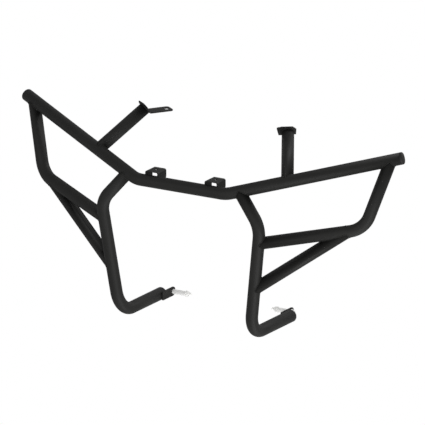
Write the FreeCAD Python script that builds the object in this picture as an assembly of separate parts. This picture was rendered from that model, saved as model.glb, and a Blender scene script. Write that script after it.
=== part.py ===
import FreeCAD, Part
import math
import os

from FreeCAD import Placement, Rotation, Vector

# Front bull bar for a quad bike: a welded frame of bent tube with bolt-on brackets.
# X runs across the bar, Y towards the rear of the vehicle and Z up.
# Every right-hand piece (+X) is drawn once and mirrored in the centre plane X = 0.
# The frame is laid out from the middle of the rail and moved at the end, so that
# the origin lies midway between the two upper bolt holes, under their tabs.

# Tube stock of the whole frame
tube_diameter = 32.0
tube_wall = 2.0
bend_radius = 64.0
bend_step_angle = 15.0
bore_sides = 8

# Upper rail: half of its level middle, and a wing on each side
rail_half_middle = 132.7
wing_length = 465.0
wing_sweep_angle = 20.75
wing_rise_angle = 14.7

# Leg: from the wing to a knee, down the shin to the ankle, and back along the foot
leg_along_wing = 36.0
knee_out = 234.8
knee_forward = 3.7
knee_drop = 73.1
ankle_out = 193.5
ankle_back = 18.3
foot_drop = 371.4
foot_reach = 218.0

# Hoop: from near the wing's outer end down to its corner, and in to the shin
hoop_before_wing_end = 26.5
hoop_corner_in = 53.44
hoop_corner_forward = 41.07
hoop_corner_drop = 179.67
hoop_below_knee = 43.4

# Brace: from the hoop's lower run to the shin
brace_from_hoop_corner = 42.6
brace_below_knee = 171.0

# Strut: rises back and in from the wing to its bracket
strut_along_wing = 163.6
strut_length = 162.0
strut_inward_angle = 30.1
strut_rise_angle = 33.6

# Strut bracket: an end plate across the strut, and a level tab folded from its lower edge
bracket_sheet = 3.0
bracket_fold_radius = 3.0
bracket_inward_angle = 35.5
bracket_corner_radius = 3.0
plate_above = 21.5
plate_below = 7.2
plate_outer_side = 21.0
plate_inner_top = 28.5
plate_inner_bottom = 23.5
plate_corner_cut = 9.5
tab_width = 38.0
tab_length = 63.0
tab_corner_radius = 9.0
tab_hole_diameter = 14.0
tab_hole_from_end = 12.5

# Lamp bracket: a strip folded to an upside-down U, coped onto the rail, one side shorter at the back
lamp_spacing = 176.0
lamp_width = 38.0
lamp_sheet = 2.5
lamp_fold_radius = 2.5
lamp_back = 42.0
lamp_short_side = 33.0
lamp_top = 26.5
lamp_corner_radius = 9.0
lamp_hole_diameter = 9.0
lamp_hole_back = 23.0

# End cap: a head as wide as the tube, its edge rounded in two flats, on a plug that fills the bore
cap_sides = 24
cap_height = 9.0
cap_edge = 4.5
plug_length = 18.0
plug_clearance = 0.1

# Foot lug: a flat bar let a little into the inner side of the foot
lug_sheet = 3.0
lug_before_foot_end = 18.0
lug_half_height = 12.0
lug_front_radius = 3.0
lug_seat = 0.8

# Foot bolt with its spacer sleeve and lock nut; head and nut include the washer under them
bolt_diameter = 8.0
bolt_behind_foot = 33.0
bolt_tip_length = 7.5
bolt_hole_clearance = 0.5
hex_across_flats = 13.0
washer_thickness = 1.6
head_height = washer_thickness + 6.0
nut_height = washer_thickness + 8.0
nut_clearance = 0.05
sleeve_diameter = 12.0
sleeve_length = 38.0
sleeve_clearance = 0.3

across = Vector(1, 0, 0)
back = Vector(0, 1, 0)
up = Vector(0, 0, 1)
tube_radius = tube_diameter / 2
bore_radius = tube_radius - tube_wall
# The bore is a polygon with as much room in it as the round bore
bore_half_side = math.pi / bore_sides
bore_corner_radius = bore_radius * math.sqrt(2 * bore_half_side / math.sin(2 * bore_half_side))
plug_corner_radius = bore_corner_radius * math.cos(bore_half_side) - plug_clearance


def heading(inward_angle, rise_angle):
    level = math.cos(math.radians(rise_angle))
    turn = math.radians(inward_angle)
    return Vector(-math.sin(turn) * level, math.cos(turn) * level, math.sin(math.radians(rise_angle)))


def along(start, end, distance):
    return start + (end - start).normalize() * distance


def rounded_edges(points, radius_of, closed):
    # Straight runs between the points, with a tangent arc at each rounded corner
    count = len(points)
    arcs = []
    for index, corner in enumerate(points):
        radius = radius_of[index]
        if radius == 0:
            arcs.append((corner, None, corner))
            continue
        before = (points[index - 1] - corner).normalize()
        after = (points[(index + 1) % count] - corner).normalize()
        half_angle = before.getAngle(after) / 2
        setback = radius / math.tan(half_angle)
        middle = corner + (before + after).normalize() * (radius / math.sin(half_angle) - radius)
        arcs.append((corner + before * setback, middle, corner + after * setback))
    edges = []
    for index, (start, middle, end) in enumerate(arcs):
        if middle is not None:
            edges.append(Part.Arc(start, middle, end).toShape())
        if closed or index + 1 < count:
            edges.append(Part.LineSegment(end, arcs[(index + 1) % count][0]).toShape())
    return edges


def rounded_slab(points, radius_of, thickness):
    outline = Part.Wire(rounded_edges(points, radius_of, closed=True))
    return Part.Face(outline).extrude(thickness)


def bent_path(points):
    # Short runs round each bend, each touching the bend's arc at its middle
    path = [points[0]]
    for before, corner, after in zip(points, points[1:], points[2:]):
        arriving = (corner - before).normalize()
        leaving = (after - corner).normalize()
        turn = arriving.getAngle(leaving)
        steps = math.ceil(math.degrees(turn) / bend_step_angle)
        start = corner - arriving * (bend_radius * math.tan(turn / 2))
        axis = arriving.cross(leaving).normalize()
        spoke = arriving.cross(axis) * bend_radius
        stretch = 1 / math.cos(turn / steps / 2)
        for step in range(steps):
            swing = Rotation(axis, math.degrees(turn) * (step + 0.5) / steps)
            path.append(start - spoke + swing.multVec(spoke) * stretch)
    path.append(points[-1])
    return path


def polygon_points(corner_radius, sides, height):
    points = []
    for step in range(sides + 1):
        angle = 2 * math.pi * step / sides
        points.append(Vector(math.cos(angle) * corner_radius, math.sin(angle) * corner_radius, height))
    return points


def flat_face(points):
    return Part.Face(Part.makePolygon(points))


def polygon_face(corner_radius, sides, placement):
    face = flat_face(polygon_points(corner_radius, sides, 0))
    face.Placement = placement
    return face


def tube_along(points):
    path = bent_path(points)
    spine = Part.makePolygon(path)
    ahead = path[1] - path[0]
    outside = Part.Wire(Part.makeCircle(tube_radius, path[0], ahead))
    inside = polygon_face(bore_corner_radius, bore_sides, Placement(path[0], Rotation(up, ahead))).OuterWire
    right_corner = 1
    solid = spine.makePipeShell([outside], True, False, right_corner)
    return solid, solid.cut(spine.makePipeShell([inside], True, False, right_corner))


def cylinder_along(start, direction, radius, length):
    return Part.makeCylinder(radius, length, start, direction)


def mirrored(shape):
    return shape.mirror(Vector(0, 0, 0), across)


# Centrelines of the right-hand half
wing_direction = Vector(
    math.cos(math.radians(wing_sweep_angle)) * math.cos(math.radians(wing_rise_angle)),
    math.sin(math.radians(wing_sweep_angle)) * math.cos(math.radians(wing_rise_angle)),
    math.sin(math.radians(wing_rise_angle)),
)
rail_corner = Vector(rail_half_middle, 0, 0)
rail_end = rail_corner + wing_direction * wing_length
knee = Vector(knee_out, -knee_forward, -knee_drop)
ankle = Vector(ankle_out, ankle_back, -foot_drop)
foot_end = Vector(ankle_out, foot_reach, -foot_drop)
leg_top = rail_corner + wing_direction * leg_along_wing
hoop_top = rail_end - wing_direction * hoop_before_wing_end
hoop_corner = hoop_top - Vector(hoop_corner_in, hoop_corner_forward, hoop_corner_drop)
hoop_end = along(knee, ankle, hoop_below_knee)
brace_top = along(hoop_corner, hoop_end, brace_from_hoop_corner)
brace_end = along(knee, ankle, brace_below_knee)
strut_root = rail_corner + wing_direction * strut_along_wing
strut_direction = heading(strut_inward_angle, strut_rise_angle)
strut_end = strut_root + strut_direction * strut_length

# Strut bracket: the plate's own axes, and the level tab's axes
plate_normal = heading(bracket_inward_angle, strut_rise_angle)
tab_direction = heading(bracket_inward_angle, 0)
inward = up.cross(tab_direction)
plate_up = plate_normal.cross(inward)
plate_axes = Placement(strut_end, Rotation(inward, plate_up, plate_normal, "ZXY"))
fold_angle = 90.0 - strut_rise_angle
fold_outer_radius = bracket_fold_radius + bracket_sheet
fold_centre = strut_end - plate_up * plate_below + plate_normal * fold_outer_radius
tab_axes = Placement(fold_centre - up * fold_outer_radius, Rotation(tab_direction, inward, up, "ZXY"))
tab_hole = tab_axes.multVec(Vector(tab_length - tab_hole_from_end, plate_inner_bottom - tab_width / 2, 0))
origin = Vector(0, tab_hole.y, tab_hole.z)

# Foot hardware: faces along the bolt, from the lug inwards and outwards
lug_outer_x = ankle_out - tube_radius + lug_seat
lug_inner_x = lug_outer_x - lug_sheet
lug_front = foot_reach - lug_before_foot_end
sleeve_end_x = lug_inner_x - sleeve_length
bolt_tip_x = sleeve_end_x - nut_height - bolt_tip_length
bolt_y = foot_reach + bolt_behind_foot
bolt_hole_radius = bolt_diameter / 2 + bolt_hole_clearance


def bolt_axis_point(x):
    return Vector(x, bolt_y, -foot_drop)


def make_strut_bracket():
    plate_outline = [
        Vector(-plate_outer_side, -plate_below, 0),
        Vector(plate_inner_bottom, -plate_below, 0),
        Vector(plate_inner_top, plate_above - plate_corner_cut, 0),
        Vector(plate_inner_top - plate_corner_cut, plate_above, 0),
        Vector(plate_corner_cut - plate_outer_side, plate_above, 0),
        Vector(-plate_outer_side, plate_above - plate_corner_cut, 0),
    ]
    plate_radii = [0, 0] + [bracket_corner_radius] * 4
    plate = rounded_slab(plate_outline, plate_radii, Vector(0, 0, bracket_sheet))
    tab_outer = plate_inner_bottom - tab_width
    fold_start = Vector(tab_outer, -plate_below, bracket_sheet)
    fold_strip = Part.makePlane(tab_width, bracket_sheet, fold_start, Vector(0, 1, 0), Vector(1, 0, 0))
    fold = fold_strip.revolve(Vector(0, -plate_below, fold_outer_radius), Vector(1, 0, 0), -fold_angle)
    tab_outline = [
        Vector(0, tab_outer, 0),
        Vector(tab_length, tab_outer, 0),
        Vector(tab_length, plate_inner_bottom, 0),
        Vector(0, plate_inner_bottom, 0),
    ]
    tab_radii = [0, tab_corner_radius, tab_corner_radius, 0]
    tab = rounded_slab(tab_outline, tab_radii, Vector(0, 0, bracket_sheet))
    for local, axes in ((plate, plate_axes), (fold, plate_axes), (tab, tab_axes)):
        local.Placement = axes.multiply(local.Placement)
    hole = cylinder_along(tab_hole, up, tab_hole_diameter / 2, bracket_sheet)
    return plate.fuse([fold, tab]).cut(hole).removeSplitter()


def make_strut(rail_solid):
    # The end butts on the plate, and its lower lip runs on below the fold to the tab
    strut = tube_along([strut_root, strut_end + strut_direction * tube_diameter])[1]
    reach = 4 * tube_diameter
    spaces = []
    for axes in (plate_axes, tab_axes):
        space = Part.makeBox(reach, reach, reach, Vector(-reach / 2, -reach / 2, 0))
        space.Placement = axes.multiply(space.Placement)
        spaces.append(space)
    return strut.cut([rail_solid, spaces[0].common(spaces[1])])


def make_lamp_bracket(rail_solid, middle):
    left = middle - lamp_width / 2
    right = left + lamp_width
    outer = lamp_fold_radius + lamp_sheet
    section_points = [
        Vector(left, 0, 0),
        Vector(left, 0, lamp_top),
        Vector(right, 0, lamp_top),
        Vector(right, 0, 0),
        Vector(right - lamp_sheet, 0, 0),
        Vector(right - lamp_sheet, 0, lamp_top - lamp_sheet),
        Vector(left + lamp_sheet, 0, lamp_top - lamp_sheet),
        Vector(left + lamp_sheet, 0, 0),
    ]
    section_radii = [0, outer, outer, 0, 0, lamp_fold_radius, lamp_fold_radius, 0]
    strip = rounded_slab(section_points, section_radii, back * lamp_back)
    side_points = [
        Vector(left, 0, 0),
        Vector(left, 0, lamp_top),
        Vector(left, lamp_back, lamp_top),
        Vector(left, lamp_back, 0),
    ]
    side = rounded_slab(side_points, [0, 0, 0, lamp_corner_radius], across * lamp_width)
    notch_depth = lamp_back - lamp_short_side
    notch = Part.makeBox(outer, notch_depth, lamp_top - outer, Vector(left, lamp_short_side, 0))
    hole = cylinder_along(Vector(middle, lamp_hole_back, 0), up, lamp_hole_diameter / 2, lamp_top)
    return strip.common(side).cut([rail_solid, notch, hole])


def make_end_cap(seat, direction):
    # Drawn upright, with the tube's end at height 0, and then laid along the tube
    slant = cap_edge * math.sqrt(0.5)
    rim = cap_height - cap_edge
    profile = [
        (tube_radius, 0),
        (tube_radius, rim),
        (tube_radius - cap_edge + slant, rim + slant),
        (tube_radius - cap_edge, cap_height),
    ]
    rings = [polygon_points(radius, cap_sides, height) for radius, height in profile]
    faces = [flat_face(rings[0]), flat_face(rings[-1])]
    for lower, upper in zip(rings, rings[1:]):
        for side in range(cap_sides):
            faces.append(flat_face([lower[side], lower[side + 1], upper[side + 1], upper[side], lower[side]]))
    head = Part.Solid(Part.Shell(faces))
    plug_foot = Placement(up * -plug_length, Rotation())
    plug = polygon_face(plug_corner_radius, bore_sides, plug_foot).extrude(up * plug_length)
    cap = head.fuse(plug)
    cap.Placement = Placement(seat, Rotation(up, direction))
    return cap


def make_foot_lug():
    end = bolt_y + lug_half_height
    low, high = -foot_drop - lug_half_height, -foot_drop + lug_half_height
    outline = [
        Vector(lug_inner_x, bolt_y, high),
        Vector(lug_inner_x, lug_front, high),
        Vector(lug_inner_x, lug_front, low),
        Vector(lug_inner_x, bolt_y, low),
    ]
    edges = rounded_edges(outline, [0, lug_front_radius, lug_front_radius, 0], closed=False)
    edges.append(Part.Arc(outline[3], Vector(lug_inner_x, end, -foot_drop), outline[0]).toShape())
    lug = Part.Face(Part.Wire(edges)).extrude(across * lug_sheet)
    hole = cylinder_along(bolt_axis_point(lug_inner_x), across, bolt_hole_radius, lug_sheet)
    foot_length = foot_reach + cap_height - ankle_back
    foot = cylinder_along(ankle, back, tube_radius, foot_length)
    return lug.cut([hole, foot])


def hex_prism(start_x, height):
    lying = Placement(bolt_axis_point(start_x), Rotation(up, across))
    return polygon_face(hex_across_flats / math.sqrt(3), 6, lying).extrude(across * height)


def make_foot_bolt():
    shank = cylinder_along(bolt_axis_point(bolt_tip_x), across, bolt_diameter / 2, lug_outer_x - bolt_tip_x)
    return hex_prism(lug_outer_x, head_height).fuse(shank)


def make_spacer_sleeve():
    start = bolt_axis_point(sleeve_end_x)
    sleeve = cylinder_along(start, across, sleeve_diameter / 2, sleeve_length)
    return sleeve.cut(cylinder_along(start, across, bolt_diameter / 2 + sleeve_clearance, sleeve_length))


def make_lock_nut():
    start_x = sleeve_end_x - nut_height
    thread = cylinder_along(bolt_axis_point(start_x), across, bolt_diameter / 2 + nut_clearance, nut_height)
    return hex_prism(start_x, nut_height).cut(thread)


def make_right_side(rail_solid):
    leg_solid, leg = tube_along([leg_top, knee, ankle, foot_end])
    hoop_solid, hoop = tube_along([hoop_top, hoop_corner, hoop_end])
    brace = tube_along([along(brace_top, brace_end, tube_wall), brace_end])[1]
    return {
        "leg": leg.cut(rail_solid),
        "wing_hoop": hoop.cut([rail_solid, leg_solid]),
        "brace": brace.cut([hoop_solid, leg_solid]),
        "strut": make_strut(rail_solid),
        "strut_bracket": make_strut_bracket(),
        "end_cap": make_end_cap(rail_end, wing_direction),
        "foot_cap": make_end_cap(foot_end, back),
        "foot_lug": make_foot_lug(),
        "foot_bolt": make_foot_bolt(),
        "spacer_sleeve": make_spacer_sleeve(),
        "lock_nut": make_lock_nut(),
    }


def main():
    right_points = [rail_corner, rail_end]
    left_points = [Vector(-point.x, point.y, point.z) for point in reversed(right_points)]
    rail_solid, rail = tube_along(left_points + right_points)
    pieces = {"upper_rail": rail}
    pieces["right_lamp_bracket"] = make_lamp_bracket(rail_solid, lamp_spacing / 2)
    pieces["left_lamp_bracket"] = make_lamp_bracket(rail_solid, -lamp_spacing / 2)
    for name, shape in make_right_side(rail_solid).items():
        pieces["right_" + name] = shape
        pieces["left_" + name] = mirrored(shape)
    os.makedirs("parts", exist_ok=True)
    for node, shape in pieces.items():
        placed = shape.translated(-origin)
        placed.exportStep("parts/" + node + ".step")
        print(node, len(placed.Solids), round(placed.Volume), placed.isValid())
    print("upper bolt hole", tab_hole - origin, "rail middle", -origin)


main()
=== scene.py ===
import bpy
import bmesh
import math
from mathutils import Matrix, Vector
from mathutils.bvhtree import BVHTree


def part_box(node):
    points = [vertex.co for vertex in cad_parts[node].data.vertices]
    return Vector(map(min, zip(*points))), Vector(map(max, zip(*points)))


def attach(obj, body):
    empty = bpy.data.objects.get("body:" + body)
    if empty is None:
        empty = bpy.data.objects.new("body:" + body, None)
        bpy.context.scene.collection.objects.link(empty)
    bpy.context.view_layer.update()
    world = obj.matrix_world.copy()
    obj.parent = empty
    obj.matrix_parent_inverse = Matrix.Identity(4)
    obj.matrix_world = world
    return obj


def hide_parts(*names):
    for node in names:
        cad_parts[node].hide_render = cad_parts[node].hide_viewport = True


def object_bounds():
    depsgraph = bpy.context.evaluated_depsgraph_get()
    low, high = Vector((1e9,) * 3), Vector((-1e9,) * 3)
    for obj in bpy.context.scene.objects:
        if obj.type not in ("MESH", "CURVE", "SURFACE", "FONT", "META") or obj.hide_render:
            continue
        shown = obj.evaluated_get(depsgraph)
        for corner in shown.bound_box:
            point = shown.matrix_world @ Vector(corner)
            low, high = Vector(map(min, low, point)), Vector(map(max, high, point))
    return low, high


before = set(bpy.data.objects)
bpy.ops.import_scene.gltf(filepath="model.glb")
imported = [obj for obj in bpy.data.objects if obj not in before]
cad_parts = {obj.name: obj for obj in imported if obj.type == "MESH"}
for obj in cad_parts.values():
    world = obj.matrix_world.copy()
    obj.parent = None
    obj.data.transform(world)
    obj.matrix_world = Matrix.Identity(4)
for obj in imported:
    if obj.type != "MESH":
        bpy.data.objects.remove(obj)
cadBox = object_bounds()
print("frame loaded:", len(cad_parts), "solids")

yAxis = Vector((0, 1, 0))
zAxis = Vector((0, 0, 1))
sides = (("right", 1), ("left", -1))
mergeGap = 0.000005  # points closer than this become one


class Value:  # one output socket, with the arithmetic of shader numbers
    def __init__(self, finish, socket):
        self.finish = finish
        self.socket = socket

    def combine(self, operation, first, second):
        return self.finish.add("ShaderNodeMath", {"operation": operation}, {0: first, 1: second})

    def __add__(self, other):
        return self.combine("ADD", self, other)

    def __radd__(self, other):
        return self.combine("ADD", other, self)

    def __mul__(self, other):
        return self.combine("MULTIPLY", self, other)

    def __rmul__(self, other):
        return self.combine("MULTIPLY", other, self)


class Finish:  # one material and its node tree
    def __init__(self, name):
        self.material = bpy.data.materials.new(name)
        self.material.use_nodes = True
        self.tree = self.material.node_tree
        self.tree.nodes.clear()

    def add(self, kind, settings=None, inputs=None, output=0):
        node = self.tree.nodes.new(kind)
        for key, value in (settings or {}).items():
            if key == "stops":
                for stop, (position, shade) in zip(node.color_ramp.elements, value):
                    stop.position = position
                    stop.color = shade
            else:
                setattr(node, key, value)
        for key, value in (inputs or {}).items():
            if isinstance(value, Value):
                self.tree.links.new(value.socket, node.inputs[key])
            else:
                node.inputs[key].default_value = value
        return Value(self, node.outputs[output]) if node.outputs else None

    def places(self, stretch):
        spot = self.add("ShaderNodeTexCoord", output="Object")
        return self.add("ShaderNodeMapping", None, {"Vector": spot, "Scale": stretch})

    def noise(self, scale, detail, rough, stretch=(1, 1, 1)):
        given = {"Vector": self.places(stretch), "Scale": scale, "Detail": detail, "Roughness": rough}
        return self.add("ShaderNodeTexNoise", None, given, "Fac")

    def ramp(self, value, low, high):
        stops = [(low, (0, 0, 0, 1)), (high, (1, 1, 1, 1))]
        return self.add("ShaderNodeValToRGB", {"stops": stops}, {"Fac": value})

    def tint(self, share, first, second):
        return self.add("ShaderNodeMix", {"data_type": "RGBA"}, {0: share, 6: first, 7: second}, 2)

    def bump(self, height, strength, distance, before=None):
        given = {"Strength": strength, "Distance": distance, "Height": height}
        if before:
            given["Normal"] = before
        return self.add("ShaderNodeBump", None, given)

    def surface(self, inputs):
        shader = self.add("ShaderNodeBsdfPrincipled", None, inputs)
        self.add("ShaderNodeOutputMaterial", None, {"Surface": shader})
        return self.material


coatLook = {  # a noise is scale, detail and roughness; a bump is strength and distance
    "dark": (0.0079, 0.0079, 0.0074, 1), "light": (0.0158, 0.0156, 0.0147, 1),
    "dust": (0.060, 0.058, 0.054, 1),
    "clouds": (14.0, 4.0, 0.6), "peel": (750.0, 2.0, 0.45), "grain": (2600.0, 2.0, 0.6),
    "specks": (420.0, 1.0, 0.4), "speckFrom": 0.72, "speckTo": 0.80, "speckShare": 0.3,
    "rough": 0.51, "cloudRough": 0.10, "speckRough": 0.10, "grainRough": 0.06,
    "peelBump": (0.30, 0.0006), "grainBump": (0.20, 0.0002), "shine": 0.20,
}


def makeBlackCoat():  # satin powder coat: orange peel, cloudy gloss, a few dust specks
    coat = Finish("blackCoat")
    clouds = coat.noise(*coatLook["clouds"])
    peel = coat.noise(*coatLook["peel"])
    grain = coat.noise(*coatLook["grain"])
    specks = coat.ramp(coat.noise(*coatLook["specks"]), coatLook["speckFrom"], coatLook["speckTo"])
    colour = coat.tint(clouds, coatLook["dark"], coatLook["light"])
    colour = coat.tint(specks * coatLook["speckShare"], colour, coatLook["dust"])
    rough = coatLook["rough"] + coatLook["cloudRough"] * clouds
    rough = rough + coatLook["speckRough"] * specks + coatLook["grainRough"] * grain
    normal = coat.bump(peel, *coatLook["peelBump"])
    normal = coat.bump(grain, *coatLook["grainBump"], before=normal)
    return coat.surface(
        {"Base Color": colour, "Roughness": rough, "Normal": normal, "Specular IOR Level": coatLook["shine"]}
    )


capLook = {
    "dark": (0.016, 0.016, 0.0155, 1), "light": (0.024, 0.024, 0.023, 1), "clouds": (40.0, 3.0, 0.5),
    "texture": (1900.0, 3.0, 0.7), "textureBump": (0.30, 0.0003), "textureRough": 0.12,
    "rough": 0.5, "shine": 0.12,
}


def makeCapPlastic():  # moulded plastic with a fine spark-eroded grain
    cap = Finish("capPlastic")
    clouds = cap.noise(*capLook["clouds"])
    texture = cap.noise(*capLook["texture"])
    colour = cap.tint(clouds, capLook["dark"], capLook["light"])
    rough = capLook["rough"] + capLook["textureRough"] * texture
    normal = cap.bump(texture, *capLook["textureBump"])
    return cap.surface(
        {"Base Color": colour, "Roughness": rough, "Normal": normal, "Specular IOR Level": capLook["shine"]}
    )


zincLook = {
    "dull": (0.80, 0.80, 0.785, 1), "bright": (0.90, 0.90, 0.885, 1), "metal": 0.15,
    "clouds": (220.0, 4.0, 0.6), "dullFrom": 0.30, "brightFrom": 0.62,
    "rings": (1.0, 2.0, 0.6), "ringStretch": (2400, 90, 90), "ringBump": (0.12, 0.0002),
    "rough": 0.36, "cloudRough": 0.14, "ringRough": 0.10,
}


def makeZinc():  # pale zinc plate over turned steel, with faint rings along X
    zinc = Finish("zincPlate")
    rings = zinc.noise(*zincLook["rings"], stretch=zincLook["ringStretch"])
    clouds = zinc.noise(*zincLook["clouds"])
    patches = zinc.ramp(clouds, zincLook["dullFrom"], zincLook["brightFrom"])
    colour = zinc.tint(patches, zincLook["dull"], zincLook["bright"])
    rough = zincLook["rough"] + zincLook["cloudRough"] * clouds + zincLook["ringRough"] * rings
    normal = zinc.bump(rings, *zincLook["ringBump"])
    return zinc.surface(
        {"Base Color": colour, "Metallic": zincLook["metal"], "Roughness": rough, "Normal": normal}
    )


blackCoat = makeBlackCoat()
capPlastic = makeCapPlastic()
zincPlate = makeZinc()
print("materials made")


def finishPiece(name, bm, material, nodes=(), sharpAngle=35):
    mesh = bpy.data.meshes.new(name)
    bm.to_mesh(mesh)
    bm.free()
    for polygon in mesh.polygons:
        polygon.use_smooth = True
    mesh.set_sharp_from_angle(angle=math.radians(sharpAngle))
    mesh.materials.append(material)
    piece = bpy.data.objects.new(name, mesh)
    bpy.context.scene.collection.objects.link(piece)
    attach(piece, "root")
    if nodes:
        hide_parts(*nodes)
    return piece


def edgesIn(geom):
    return [g for g in geom if isinstance(g, bmesh.types.BMEdge)]


def vertsIn(geom):
    return [g for g in geom if isinstance(g, bmesh.types.BMVert)]


def extrudeRing(bm, edges):  # grows a ring of edges in place; gives the new ring's points and edges
    grown = bmesh.ops.extrude_edge_only(bm, edges=edges)["geom"]
    verts = vertsIn(grown)
    fresh = set(verts)
    return verts, [e for e in edgesIn(grown) if fresh.issuperset(e.verts)]


def standing(centre, direction):  # stands a shape drawn along Z at a place, along a direction
    return Matrix.Translation(centre) @ direction.to_track_quat("Z", "Y").to_matrix().to_4x4()


tubeStock = {
    "radius": 0.016, "wall": 0.002, "bendRadius": 0.064, "segments": 72, "bendSteps": 28, "sharpAngle": 60,
}
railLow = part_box("upper_rail")[0]
railMiddle = Vector((0, railLow.y + tubeStock["radius"], railLow.z + tubeStock["radius"]))
layout = {  # centrelines of the right-hand half, from the middle of the rail
    "railHalf": 0.1327, "wingLength": 0.465, "sweep": 20.75, "rise": 14.7,
    "legAlong": 0.036, "knee": (0.2348, -0.0037, -0.0731), "ankle": (0.1935, 0.0183, -0.3714),
    "footReach": 0.218,
    "hoopBeforeEnd": 0.0265, "hoopCorner": (-0.05344, -0.04107, -0.17967), "hoopBelowKnee": 0.0434,
    "braceFromCorner": 0.0426, "braceBelowKnee": 0.171,
    "strutAlong": 0.1636, "strutInward": 30.1, "strutRise": 33.6, "strutLength": 0.162,
}


def along(start, end, distance):
    return start + (end - start).normalized() * distance


def makeCentrelines():
    sweep, rise = math.radians(layout["sweep"]), math.radians(layout["rise"])
    wing = Vector((math.cos(sweep) * math.cos(rise), math.sin(sweep) * math.cos(rise), math.sin(rise)))
    inward, climb = math.radians(layout["strutInward"]), math.radians(layout["strutRise"])
    strut = Vector((-math.sin(inward) * math.cos(climb), math.cos(inward) * math.cos(climb), math.sin(climb)))
    corner = railMiddle + Vector((layout["railHalf"], 0, 0))
    wingEnd = corner + wing * layout["wingLength"]
    knee = railMiddle + Vector(layout["knee"])
    ankle = railMiddle + Vector(layout["ankle"])
    foot = Vector((ankle.x, railMiddle.y + layout["footReach"], ankle.z))
    hoopTop = wingEnd - wing * layout["hoopBeforeEnd"]
    hoopCorner = hoopTop + Vector(layout["hoopCorner"])
    hoopEnd = along(knee, ankle, layout["hoopBelowKnee"])
    braceTop = along(hoopCorner, hoopEnd, layout["braceFromCorner"])
    strutRoot = corner + wing * layout["strutAlong"]
    return {
        "wing": [corner, wingEnd],
        "leg": [corner + wing * layout["legAlong"], knee, ankle, foot],
        "hoop": [hoopTop, hoopCorner, hoopEnd],
        "brace": [braceTop, along(knee, ankle, layout["braceBelowKnee"])],
        "strut": [strutRoot, strutRoot + strut * layout["strutLength"]],
    }


def onSide(points, sign):
    return [Vector((sign * p.x, p.y, p.z)) for p in points]


def sweepTube(points):  # a ring drawn along each run and spun round each bend; gives its end rings too
    bm = bmesh.new()
    bend = tubeStock["bendRadius"]
    pose = standing(points[0], points[1] - points[0])
    first = bmesh.ops.create_circle(
        bm, segments=tubeStock["segments"], radius=tubeStock["radius"], matrix=pose
    )["verts"]
    edges = bm.edges[:]
    here = points[0]
    for index in range(1, len(points)):
        ahead = (points[index] - points[index - 1]).normalized()
        bends = index + 1 < len(points)
        stop = points[index]
        if bends:
            after = (points[index + 1] - points[index]).normalized()
            angle = ahead.angle(after)
            setback = bend * math.tan(angle / 2)
            stop = points[index] - ahead * setback
        last, edges = extrudeRing(bm, edges)
        bmesh.ops.translate(bm, verts=last, vec=stop - here)
        if bends:
            axis = ahead.cross(after).normalized()
            centre = stop + axis.cross(ahead) * bend
            turned = bmesh.ops.spin(
                bm, geom=edges, cent=centre, axis=axis, angle=angle, steps=tubeStock["bendSteps"],
                use_duplicate=False,
            )
            edges = edgesIn(turned["geom_last"])
            here = points[index] + after * setback
    return bm, first, last


coping = {"inset": 0.99, "runUp": 0.07}  # rays start a little inside the tube's wall, well before its end


def copeOnto(verts, centre, direction, host):  # slides a tube end's points along the tube to meet the host
    for vert in verts:
        start = centre + (vert.co - centre) * coping["inset"] - direction * coping["runUp"]
        vert.co += direction * (host.ray_cast(start, direction)[3] - coping["runUp"])


def finishTube(name, bm, node):
    bmesh.ops.recalc_face_normals(bm, faces=bm.faces[:])
    piece = finishPiece(name, bm, blackCoat, [node], tubeStock["sharpAngle"])
    wall = piece.modifiers.new("wall", "SOLIDIFY")
    wall.thickness = tubeStock["wall"]
    wall.offset = -1
    wall.use_even_offset = True


lines = makeCentrelines()
welds = []  # where a tube's end is welded to its host: centre, direction, host
hosts = {}


def makeRail():
    right = lines["wing"]
    bm = sweepTube(onSide(right[::-1], -1) + right)[0]
    hosts["rail"] = BVHTree.FromBMesh(bm)
    finishTube("upperRail", bm, "upper_rail")


def makeTube(name, node, points, firstHost, lastHost):
    bm, first, last = sweepTube(points)
    start = (first, points[0], points[0] - points[1], firstHost)
    end = (last, points[-1], points[-1] - points[-2], lastHost)
    for verts, centre, outward, host in (start, end):
        if host:
            direction = outward.normalized()
            copeOnto(verts, centre, direction, hosts[host])
            welds.append((centre, direction, hosts[host]))
    hosts[name] = BVHTree.FromBMesh(bm)
    finishTube(name, bm, node)


def makeTubes(side, sign):
    bracket = bmesh.new()
    bracket.from_mesh(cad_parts[side + "_strut_bracket"].data)
    hosts[side + "Bracket"] = BVHTree.FromBMesh(bracket)
    bracket.free()
    makeTube(side + "Leg", side + "_leg", onSide(lines["leg"], sign), "rail", None)
    makeTube(side + "WingHoop", side + "_wing_hoop", onSide(lines["hoop"], sign), "rail", side + "Leg")
    makeTube(side + "Brace", side + "_brace", onSide(lines["brace"], sign), side + "WingHoop", side + "Leg")
    makeTube(side + "Strut", side + "_strut", onSide(lines["strut"], sign), "rail", side + "Bracket")


makeRail()
for side, sign in sides:
    makeTubes(side, sign)
print("tubes swept and coped")

sheetWork = {
    "seam": 0.00001, "flatAngle": 0.6, "edgeAngle": 40, "segments": 3, "profile": 0.5, "sharpAngle": 30,
}
sheetPieces = {  # node, and rounding of the cut edges
    "StrutBracket": ("_strut_bracket", 0.0006),
    "LampBracket": ("_lamp_bracket", 0.0005),
    "FootLug": ("_foot_lug", 0.0006),
}


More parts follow.
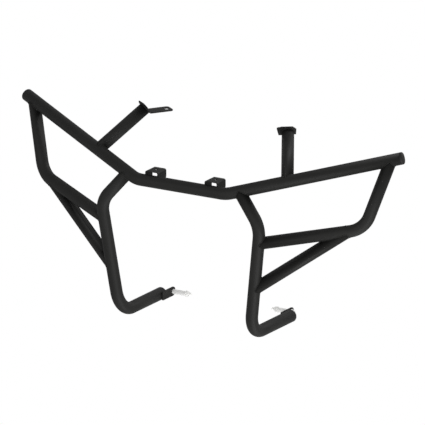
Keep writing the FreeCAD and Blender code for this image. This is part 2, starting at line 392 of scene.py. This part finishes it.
def dressSheet(name, node, edgeRound):  # a folded or flat sheet piece, with its cut edges broken
    bm = bmesh.new()
    bm.from_mesh(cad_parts[node].data)
    flatAngle, edgeAngle = math.radians(sheetWork["flatAngle"]), math.radians(sheetWork["edgeAngle"])
    bmesh.ops.remove_doubles(bm, verts=bm.verts[:], dist=sheetWork["seam"])
    bmesh.ops.dissolve_limit(bm, angle_limit=flatAngle, verts=bm.verts[:], edges=bm.edges[:])
    sharp = [e for e in bm.edges if len(e.link_faces) == 2 and e.calc_face_angle() > edgeAngle]
    bmesh.ops.bevel(
        bm, geom=sharp, offset=edgeRound, offset_type="OFFSET", segments=sheetWork["segments"],
        profile=sheetWork["profile"], affect="EDGES", material=-1, clamp_overlap=True,
    )
    piece = finishPiece(name, bm, blackCoat, [node], sheetWork["sharpAngle"])
    shading = piece.modifiers.new("flatFaces", "WEIGHTED_NORMAL")
    shading.keep_sharp = True


for side, _ in sides:
    for name, (node, edgeRound) in sheetPieces.items():
        dressSheet(side + name, side + node, edgeRound)
print("brackets dressed")


def spinProfile(points, centre, direction, steps):  # turns (radius, height) pairs about an axis
    bm = bmesh.new()
    pose = standing(centre, direction)
    verts = [bm.verts.new(pose @ Vector((r, 0, h))) for r, h in points]
    edges = [bm.edges.new(pair) for pair in zip(verts, verts[1:])]
    bmesh.ops.spin(
        bm, geom=verts + edges, cent=centre, axis=direction, angle=2 * math.pi, steps=steps,
        use_merge=True, use_duplicate=False,
    )
    bmesh.ops.remove_doubles(bm, verts=bm.verts[:], dist=mergeGap)
    bmesh.ops.recalc_face_normals(bm, faces=bm.faces[:])
    return bm


def arcPoints(centre, size, start, end, count):
    turns = [math.radians(start + (end - start) * step / count) for step in range(count + 1)]
    return [(centre[0] + size * math.cos(t), centre[1] + size * math.sin(t)) for t in turns]


capShape = {
    "height": 0.009, "edge": 0.0045, "crown": 0.0012, "lip": 0.0006, "lipDepth": 0.0005,
    "plug": 0.018, "plugGap": 0.0001, "plugWall": 0.0025, "plugFloor": 0.001,
    "fins": 3, "finDepth": 0.0015, "finStart": 0.004, "finPitch": 0.005, "finSlope": 0.0008, "finFoot": 0.003,
    "arcSteps": 8, "steps": 72, "sharpAngle": 30,
}


def makeEndCap(name, node, seat, direction):  # a domed head, and a finned, hollow plug in the bore
    rim = tubeStock["radius"]
    bore = rim - tubeStock["wall"] - capShape["plugGap"]
    core = bore - capShape["finDepth"]
    well = core - capShape["plugWall"]
    height, edge, crown, steps = capShape["height"], capShape["edge"], capShape["crown"], capShape["arcSteps"]
    plugEnd, wellEnd = -capShape["plug"], -capShape["plugFloor"]
    inner = rim - edge
    dome = (inner * inner + crown * crown) / (2 * crown)
    spread = math.degrees(math.asin(inner / dome))
    profile = [(0.0, height)]
    profile += arcPoints((0, height - dome), dome, 90, 90 - spread, steps)[1:]
    profile += arcPoints((inner, height - crown - edge), edge, 90, 0, steps)[1:]
    profile += [(rim, capShape["lip"]), (rim - capShape["lipDepth"], 0.0), (bore, 0.0)]
    for fin in range(capShape["fins"]):
        low = -capShape["finStart"] - capShape["finPitch"] * fin
        profile += [(bore, low + capShape["finSlope"]), (core, low), (core, low - capShape["finFoot"])]
    profile += [(core, plugEnd), (well, plugEnd), (well, wellEnd), (0.0, wellEnd)]
    cap = spinProfile(profile, seat, direction, capShape["steps"])
    finishPiece(name, cap, capPlastic, [node], capShape["sharpAngle"])


for side, sign in sides:
    wing = onSide(lines["wing"], sign)
    makeEndCap(side + "EndCap", side + "_end_cap", wing[1], (wing[1] - wing[0]).normalized())
    makeEndCap(side + "FootCap", side + "_foot_cap", onSide(lines["leg"], sign)[3], yAxis)
print("caps turned")

bolting = {  # an M8 bolt with its washers, sleeve and lock nut; chamfers are inner, near outer and far outer
    "flat": 0.0065, "steps": 72, "hexRound": 0.96, "hexSlope": 30, "hexLip": 0.0001, "headHeight": 0.006,
    "shank": 0.0039, "shankSteps": 48, "threadInNut": 0.002, "tipTaper": 0.0009,
    "crest": 0.004, "root": 0.0034, "pitch": 0.00125, "crestFrom": 0.42, "crestTo": 0.58,
    "turnSteps": 36, "spareTurns": 2,
    "washerThick": 0.0016, "washerRadius": 0.008, "washerHole": 0.0045,
    "washerChamfers": (0.0002, 0.0003, 0.0002),
    "sleeveHole": 0.0043, "sleeveChamfers": (0.0004, 0.0004, 0.0004), "ringSteps": 64,
}


def hexCorner(angle, flat):  # how far a hexagon's side is from its middle, at an angle
    return flat / math.cos((angle + math.pi / 6) % (math.pi / 3) - math.pi / 6)


def growRings(bm, rings):  # skins rings of (radius, height), each worked out at a point's angle about Z
    verts = bmesh.ops.create_circle(bm, segments=bolting["steps"], radius=1.0)["verts"]
    edges = bm.edges[:]
    for index, ring in enumerate(rings):
        if index:
            verts, edges = extrudeRing(bm, edges)
        for vert in verts:
            angle = math.atan2(vert.co.y, vert.co.x)
            reach, height = ring(angle)
            vert.co = Vector((math.cos(angle) * reach, math.sin(angle) * reach, height))


def hexRings(height, lowChamfer):  # the sides and the rounded-off top of a hexagon block
    flat, lip = bolting["flat"], bolting["hexLip"]
    circle = flat * bolting["hexRound"]
    slope = math.tan(math.radians(bolting["hexSlope"]))
    rings = []
    if lowChamfer:
        rings.append(lambda a: (circle, 0.0))
        rings.append(lambda a: (hexCorner(a, flat), lip + (hexCorner(a, flat) - circle) * slope))
    else:
        rings.append(lambda a: (hexCorner(a, flat), 0.0))
    rings.append(lambda a: (hexCorner(a, flat), height - lip - (hexCorner(a, flat) - circle) * slope))
    rings.append(lambda a: (circle, height))
    return rings


def standUp(bm, centre, direction):
    bmesh.ops.transform(bm, matrix=standing(centre, direction), verts=bm.verts[:])
    bmesh.ops.recalc_face_normals(bm, faces=bm.faces[:])


def joinInto(target, source):
    mesh = bpy.data.meshes.new("joined")
    source.to_mesh(mesh)
    source.free()
    target.from_mesh(mesh)
    bpy.data.meshes.remove(mesh)


def makeThread(length):  # a zigzag line turned once and raised by one pitch, cut flat at both ends
    bm = bmesh.new()
    pitch, crest, root, steps = bolting["pitch"], bolting["crest"], bolting["root"], bolting["turnSteps"]
    spare, teeth = bolting["spareTurns"], int(length / pitch) + 1
    spots = []
    for tooth in range(-spare, teeth):
        low = tooth * pitch
        crestLow, crestHigh = low + bolting["crestFrom"] * pitch, low + bolting["crestTo"] * pitch
        spots += [(root, low), (crest, crestLow), (crest, crestHigh)]
    spots.append((root, teeth * pitch))
    verts = [bm.verts.new((r, 0, h)) for r, h in spots]
    edges = [bm.edges.new(pair) for pair in zip(verts, verts[1:])]
    bmesh.ops.spin(
        bm, geom=verts + edges, cent=(0, 0, 0), axis=zAxis, dvec=zAxis * (pitch / steps), angle=2 * math.pi,
        steps=steps, use_merge=False, use_duplicate=False,
    )
    bmesh.ops.remove_doubles(bm, verts=bm.verts[:], dist=mergeGap)
    for height, facing in ((0.0, -1), (length, 1)):
        geom = bm.verts[:] + bm.edges[:] + bm.faces[:]
        cut, normal = (0, 0, height), (0, 0, facing)
        bmesh.ops.bisect_plane(bm, geom=geom, plane_co=cut, plane_no=normal, clear_outer=True)
    for vert in bm.verts:
        limit = crest - max(0.0, vert.co.z - length + bolting["tipTaper"])
        reach = vert.co.xy.length
        if reach > limit:
            vert.co.xy *= limit / reach
    bmesh.ops.holes_fill(bm, edges=bm.edges[:], sides=0)
    return bm


def ringProfile(hole, wide, thick, chamfers):  # half the section of a washer or sleeve
    inner, near, far = chamfers
    return [
        (hole, inner), (hole + inner, 0), (wide - near, 0), (wide, near),
        (wide, thick - far), (wide - far, thick), (hole + inner, thick), (hole, thick - inner), (hole, inner),
    ]


def makeBolt(headSeat, threadStart, tipEnd, inwards):
    bolt = bmesh.new()
    growRings(bolt, hexRings(bolting["headHeight"], False))
    bmesh.ops.holes_fill(bolt, edges=bolt.edges[:], sides=0)
    standUp(bolt, headSeat, -inwards)
    length, width = (threadStart - headSeat).length, bolting["shank"]
    bar = [(0, 0), (width, 0), (width, length), (0, length)]
    joinInto(bolt, spinProfile(bar, headSeat, inwards, bolting["shankSteps"]))
    thread = makeThread((tipEnd - threadStart).length)
    standUp(thread, threadStart, inwards)
    joinInto(bolt, thread)
    return bolt


nutShape = {  # above the hexagon, a round collar: shares of the flat, and heights from its foot or its top
    "hex": 0.0056, "hole": 0.0041, "collar": 0.93, "shoulder": 0.89, "brow": 0.80,
    "collarFoot": 0.0003, "collarTop": 0.0012, "shoulderTop": 0.0004, "holeChamfer": 0.0006,
}


def makeLockNut(height):
    hole, hexHeight, chamfer = nutShape["hole"], nutShape["hex"], nutShape["holeChamfer"]
    collar, shoulder, brow = (bolting["flat"] * nutShape[key] for key in ("collar", "shoulder", "brow"))
    rings = [lambda a: (hole, 0.0)] + hexRings(hexHeight, True)
    rings.append(lambda a: (collar, hexHeight + nutShape["collarFoot"]))
    rings.append(lambda a: (collar, height - nutShape["collarTop"]))
    rings.append(lambda a: (shoulder, height - nutShape["shoulderTop"]))
    rings.append(lambda a: (brow, height))
    rings.append(lambda a: (hole + chamfer, height))
    rings.append(lambda a: (hole, height - chamfer))
    nut = bmesh.new()
    growRings(nut, rings)
    bmesh.ops.bridge_loops(nut, edges=[e for e in nut.edges if e.is_boundary])
    return nut


def makeFootBolt(side, sign):  # from outside inwards: head, washer, lug, sleeve, washer, nut, tip
    inwards = Vector((-sign, 0, 0))
    low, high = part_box(side + "_foot_bolt")
    middle = (low + high) / 2
    nutLow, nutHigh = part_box(side + "_lock_nut")
    sleeveLow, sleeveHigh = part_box(side + "_spacer_sleeve")

    def across(x):
        return Vector((x, middle.y, middle.z))

    headEnd = across(high.x if sign > 0 else low.x)
    tipEnd = across(low.x if sign > 0 else high.x)
    nutSeat = across(nutHigh.x if sign > 0 else nutLow.x)
    nutEnd = across(nutLow.x if sign > 0 else nutHigh.x)
    sleeveSeat = across(sleeveHigh.x if sign > 0 else sleeveLow.x)
    headSeat = headEnd + inwards * bolting["headHeight"]
    threadStart = nutSeat + inwards * bolting["threadInNut"]

    bolt = makeBolt(headSeat, threadStart, tipEnd, inwards)
    finishPiece(side + "FootBolt", bolt, zincPlate, [side + "_foot_bolt"])

    thick = bolting["washerThick"]
    washer = ringProfile(bolting["washerHole"], bolting["washerRadius"], thick, bolting["washerChamfers"])
    for name, seat in (("HeadWasher", headSeat), ("NutWasher", nutSeat)):
        ring = spinProfile(washer, seat, inwards, bolting["ringSteps"])
        finishPiece(side + name, ring, zincPlate)

    length, wide = (nutSeat - sleeveSeat).length, (sleeveHigh.z - sleeveLow.z) / 2
    sleeve = ringProfile(bolting["sleeveHole"], wide, length, bolting["sleeveChamfers"])
    tube = spinProfile(sleeve, sleeveSeat, inwards, bolting["ringSteps"])
    finishPiece(side + "Sleeve", tube, zincPlate, [side + "_spacer_sleeve"])

    nut = makeLockNut((nutEnd - nutSeat).length - thick)
    standUp(nut, nutSeat + inwards * thick, inwards)
    finishPiece(side + "LockNut", nut, zincPlate, [side + "_lock_nut"])


for side, sign in sides:
    makeFootBolt(side, sign)
print("foot bolts made")

beadShape = {  # the bead's thickness swings between a least share and its ripples, with a slow drift
    "size": 0.0012, "pitch": 0.0024, "least": 0.80, "ripple": 0.24, "drift": 0.06, "driftRate": 310,
    "points": 216, "step": 0.0006, "sides": 2, "sharpAngle": 80,
}


def beadAlong(bm, points, closed):  # a rippled bead of weld along a line of points
    curve = bpy.data.curves.new("bead", "CURVE")
    curve.dimensions = "3D"
    curve.bevel_depth = beadShape["size"]
    curve.bevel_resolution = beadShape["sides"]
    curve.use_fill_caps = True
    spline = curve.splines.new("POLY")
    spline.points.add(len(points) - 1)
    travelled = 0.0
    for index, point in enumerate(points):
        if index:
            travelled += (point - points[index - 1]).length
        ripple = beadShape["ripple"] * abs(math.sin(math.pi * travelled / beadShape["pitch"]))
        drift = beadShape["drift"] * math.sin(travelled * beadShape["driftRate"])
        spline.points[index].co = (*point, 1)
        spline.points[index].radius = beadShape["least"] + ripple + drift
    spline.use_cyclic_u = closed
    holder = bpy.data.objects.new("bead", curve)
    mesh = bpy.data.meshes.new_from_object(holder)
    bm.from_mesh(mesh)
    bpy.data.objects.remove(holder)
    bpy.data.curves.remove(curve)
    bpy.data.meshes.remove(mesh)


def beadLine(start, end):
    count = max(2, int((end - start).length / beadShape["step"]))
    return [start.lerp(end, index / count) for index in range(count + 1)]


def jointBead(bm, centre, direction, host):  # round a coped tube end
    guide = bmesh.new()
    pose = standing(centre, direction)
    verts = bmesh.ops.create_circle(
        guide, segments=beadShape["points"], radius=tubeStock["radius"], matrix=pose
    )["verts"]
    copeOnto(verts, centre, direction, host)
    beadAlong(bm, [v.co.copy() for v in verts], True)
    guide.free()


bracketWelds = {  # angles round the rail; places on the foot, from its axis, its end and the lug's front
    "lampInset": 0.0004, "lampFrom": 86, "lampTo": 10, "lampSteps": 40,
    "lugHeight": 0.0088, "lugOut": 0.0150, "lugFront": 0.003, "lugBack": 0.001,
}


def bracketBeads(bm, side, sign):  # down both sides of the lamp bracket, and along the lug
    low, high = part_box(side + "_lamp_bracket")
    lampFrom, lampTo, steps = bracketWelds["lampFrom"], bracketWelds["lampTo"], bracketWelds["lampSteps"]
    arc = arcPoints((railMiddle.y, railMiddle.z), tubeStock["radius"], lampFrom, lampTo, steps)
    for x in (low.x - bracketWelds["lampInset"], high.x + bracketWelds["lampInset"]):
        beadAlong(bm, [Vector((x, y, z)) for y, z in arc], False)
    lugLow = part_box(side + "_foot_lug")[0]
    foot = onSide(lines["leg"], sign)[3]
    x = foot.x - sign * bracketWelds["lugOut"]
    for height in (bracketWelds["lugHeight"], -bracketWelds["lugHeight"]):
        start = Vector((x, lugLow.y + bracketWelds["lugFront"], foot.z + height))
        end = Vector((x, foot.y - bracketWelds["lugBack"], foot.z + height))
        beadAlong(bm, beadLine(start, end), False)


def makeBeads():
    bm = bmesh.new()
    for centre, direction, host in welds:
        jointBead(bm, centre, direction, host)
    for side, sign in sides:
        bracketBeads(bm, side, sign)
    bmesh.ops.recalc_face_normals(bm, faces=bm.faces[:])
    finishPiece("weldBeads", bm, blackCoat, (), beadShape["sharpAngle"])


makeBeads()
print("weld beads laid")

shot = {  # a long lens from far off, as good as parallel; frame is the picture's width at the bar
    "lens": 1500.0, "sensor": 36.0, "frame": 1.0802, "nearest": 1.0, "beyond": 40.0,
    "look": (0.0781, 0.0247, -0.0632), "azimuth": 30.918, "elevation": 16.703,
}


def makeCamera():
    data = bpy.data.cameras.new("camera")
    data.lens = shot["lens"]
    data.sensor_width = shot["sensor"]
    camera = bpy.data.objects.new("camera", data)
    bpy.context.scene.collection.objects.link(camera)
    turn, climb = math.radians(shot["azimuth"]), math.radians(shot["elevation"])
    away = Vector((math.sin(turn) * math.cos(climb), -math.cos(turn) * math.cos(climb), math.sin(climb)))
    distance = shot["frame"] * shot["lens"] / shot["sensor"]
    camera.location = railMiddle + Vector(shot["look"]) + away * distance
    camera.rotation_mode = "QUATERNION"
    camera.rotation_quaternion = (-away).to_track_quat("-Z", "Y")
    data.clip_start, data.clip_end = shot["nearest"], distance + shot["beyond"]
    bpy.context.scene.camera = camera


studio = {"floorSize": 14.0, "floorRough": 0.9, "floorGlow": 1.0, "sky": 0.50}


def makeFloor():  # glows plain white, and neither mirrors in the bar nor stops the lamps below it
    bm = bmesh.new()
    bmesh.ops.create_grid(bm, x_segments=1, y_segments=1, size=studio["floorSize"])
    bmesh.ops.translate(bm, verts=bm.verts[:], vec=Vector((0, 0, cadBox[0].z)))
    mesh = bpy.data.meshes.new("floor")
    bm.to_mesh(mesh)
    bm.free()
    floor = bpy.data.objects.new("floor", mesh)
    bpy.context.scene.collection.objects.link(floor)
    pale = Finish("paleFloor")
    mesh.materials.append(pale.surface({
        "Base Color": (0, 0, 0, 1), "Specular IOR Level": 0.0, "Roughness": studio["floorRough"],
        "Emission Color": (1, 1, 1, 1), "Emission Strength": studio["floorGlow"],
    }))
    floor.visible_glossy = False
    floor.visible_diffuse = False
    floor.visible_shadow = False


lamps = {  # place seen from the bar's middle, size, power
    "rim": ((1.3, 1.9, 2.0), 0.9, 33.0),
    "low": ((2.28, -1.66, -1.03), 1.8, 53.0),
    "under": ((1.44, -0.07, -2.63), 0.5, 22.0),
    "front": ((-0.4, -2.9, 0.7), 2.0, 22.0),
    "top": ((-0.6, -0.4, 3.0), 2.4, 4.0),
}


def makeLights():
    middle = (cadBox[0] + cadBox[1]) / 2
    for name, (spot, size, power) in lamps.items():
        data = bpy.data.lights.new(name, "AREA")
        data.shape = "SQUARE"
        data.size = size
        data.energy = power
        lamp = bpy.data.objects.new(name, data)
        lamp.location = middle + Vector(spot)
        lamp.rotation_mode = "QUATERNION"
        lamp.rotation_quaternion = (-Vector(spot)).to_track_quat("-Z", "Y")
        bpy.context.scene.collection.objects.link(lamp)
    world = bpy.data.worlds.new("studio")
    bpy.context.scene.world = world
    world.use_nodes = True
    sky = world.node_tree.nodes["Background"]
    sky.inputs["Color"].default_value = (1, 1, 1, 1)
    sky.inputs["Strength"].default_value = studio["sky"]
    bpy.context.scene.view_settings.view_transform = "Standard"


makeCamera()
makeFloor()
makeLights()
print("studio set")
